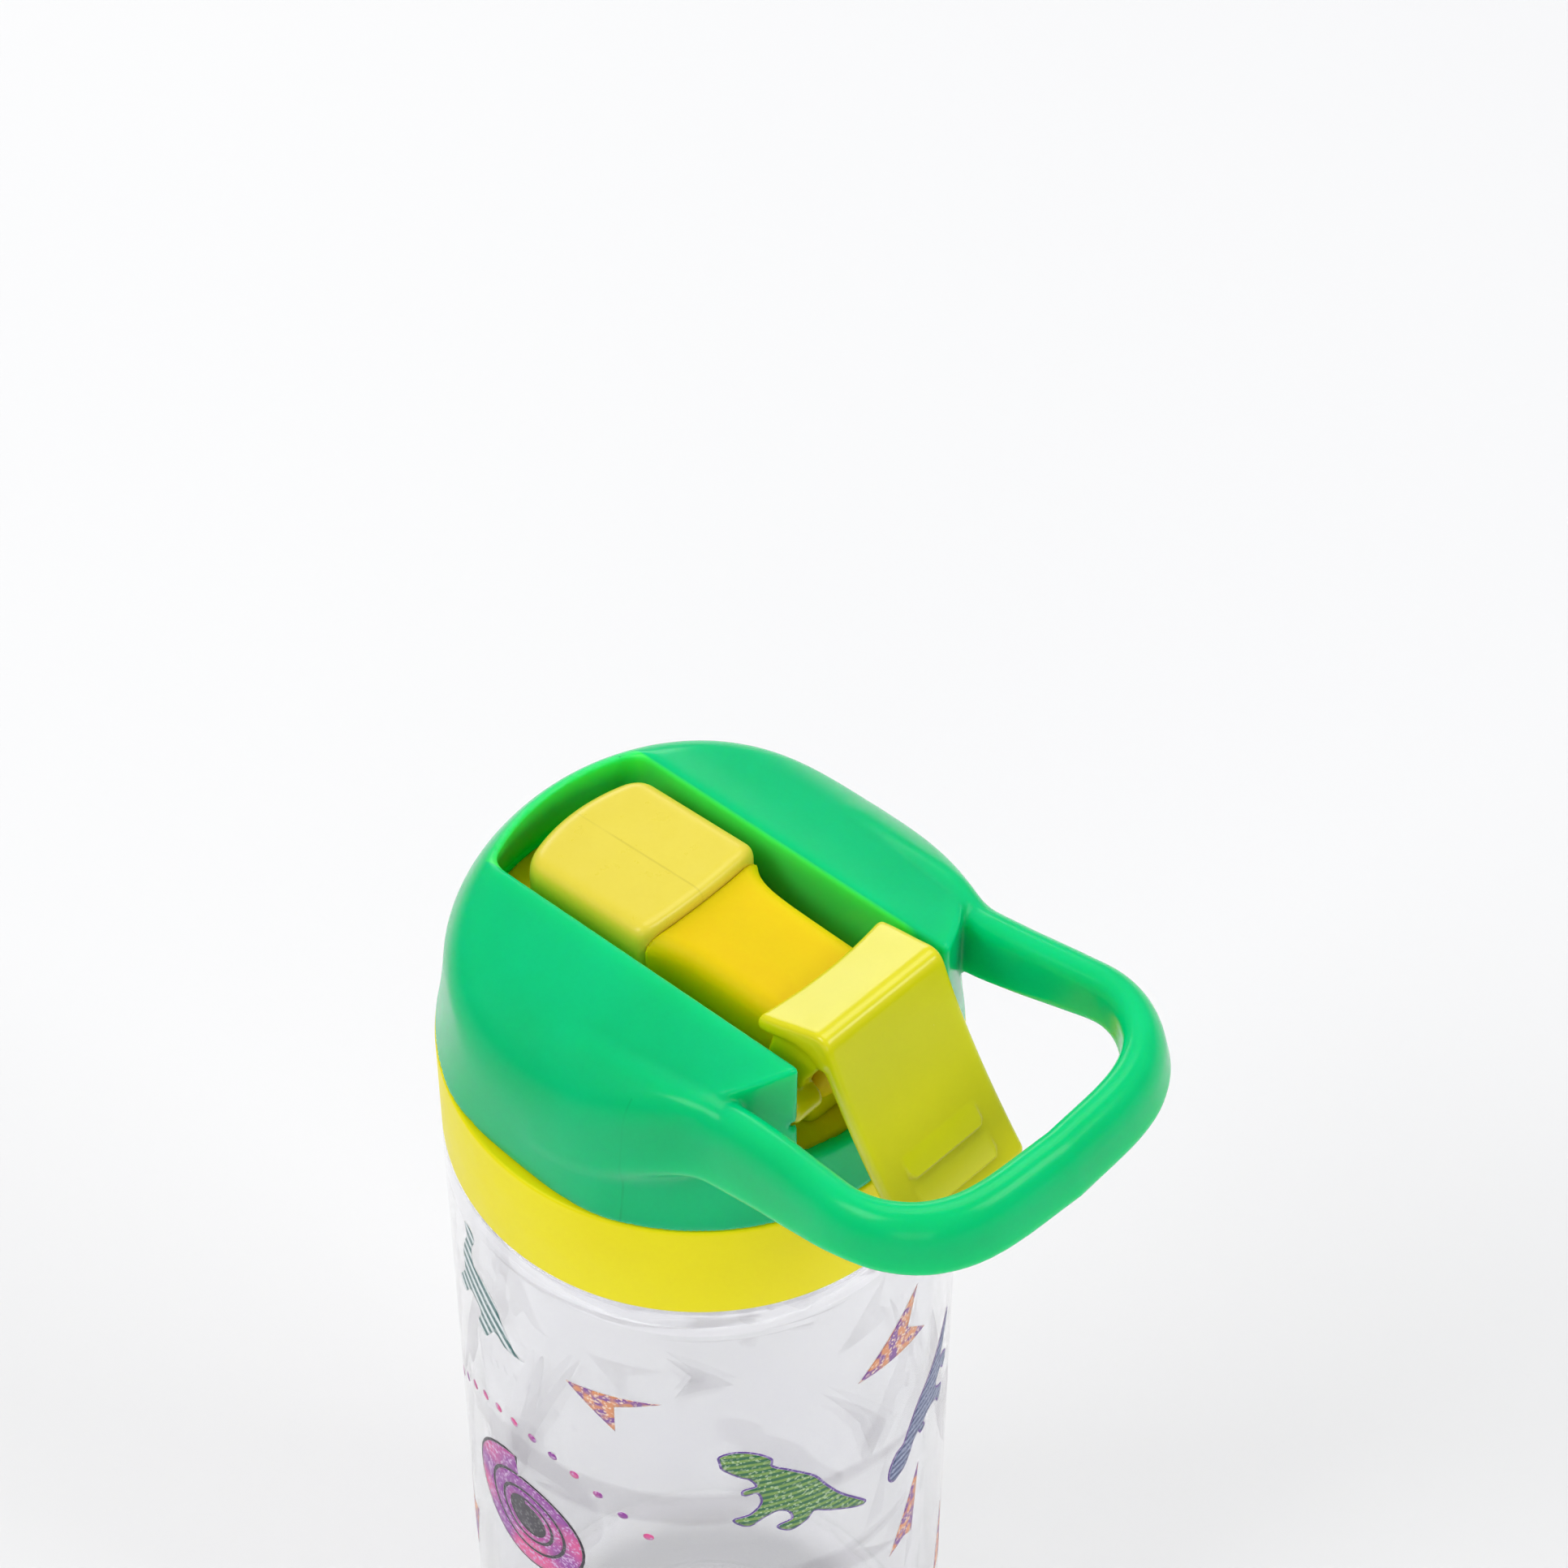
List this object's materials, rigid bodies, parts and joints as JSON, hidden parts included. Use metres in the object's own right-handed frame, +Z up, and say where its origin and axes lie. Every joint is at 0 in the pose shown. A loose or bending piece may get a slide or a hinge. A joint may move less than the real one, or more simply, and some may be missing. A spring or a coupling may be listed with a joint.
{
  "type": "kids water bottle",
  "caption": "Clear plastic kids water bottle with a screw-on domed lid, loop carry handle and a flip-up drinking spout worked by a thumb lever.",
  "frame": {"origin": "centre of the flat base, on the bottle's axis, where the bottle stands", "axes": "+Z up along the bottle's axis, +X towards the loop handle, +Y to the side, symmetric about Y = 0"},
  "size_m": [0.1056, 0.0724, 0.2042],
  "materials": {
    "clear_body": "clear, polished",
    "yellow_collar": "satin",
    "green_cover": "satin, slightly translucent",
    "lime_lever": "satin",
    "pale_tip": "satin",
    "golden_silicone": "matte silicone",
    "seal_silicone": "translucent white silicone"
  },
  "bodies": {
    "bottle": {"bottle_body": "clear_body"},
    "seal": {"lid_seal": "seal_silicone"},
    "lid": {"lid_base": "yellow_collar", "lid_shell": "green_cover", "spout_root": "golden_silicone", "vent_valve": "seal_silicone"},
    "spout": {"spout_lever": "lime_lever", "spout_tip": "pale_tip", "spout_tube": "golden_silicone"}
  },
  "joints": [
    {"name": "lid_lift", "type": "slide", "parent": "bottle", "child": "seal", "axis": [0, 0, 1], "range_m": [0, 0.005]},
    {"name": "lid_turn", "type": "hinge", "parent": "seal", "child": "lid", "pos_m": [0, 0, 0.15], "axis": [0, 0, 1], "range_deg": [0, 450]},
    {"name": "spout_flip", "type": "hinge", "parent": "lid", "child": "spout", "pos_m": [0.0296, 0, 0.188], "axis": [0, 1, 0], "range_deg": [0, 32]}
  ],
  "couplings": [
    {"joint": "lid_lift", "follows": "lid_turn", "m_per_rad": 0.00063662}
  ]
}
